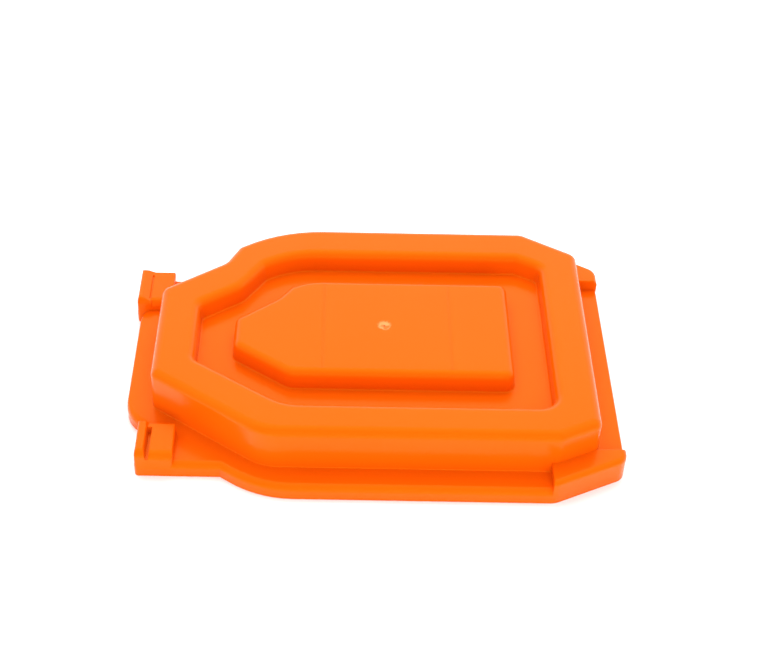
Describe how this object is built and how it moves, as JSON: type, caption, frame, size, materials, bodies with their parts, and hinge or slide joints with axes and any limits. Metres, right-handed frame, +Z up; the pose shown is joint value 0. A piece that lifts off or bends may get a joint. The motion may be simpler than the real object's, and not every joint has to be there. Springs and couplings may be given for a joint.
{
  "type": "air box wash cover",
  "caption": "Stepped moulded cover with a raised crown, a sunken moat round a central island, a low flange with a seal underneath, hooked ears and clamp pads.",
  "frame": {"origin": "centre of the underside of the overall box, on the plane of the flange's rim", "axes": "+X along the cover from the hooked ears to the clamp pads, +Y across it from the front to the back, +Z up, out of the air box"},
  "size_m": [0.2392, 0.1726, 0.0315],
  "materials": {
    "orange_plastic": "satin-gloss injection moulded, bright orange",
    "seal_foam": "matt closed-cell foam"
  },
  "bodies": {
    "root": {"cover_shell": "orange_plastic", "seal_ring": "seal_foam"}
  },
  "joints": []
}
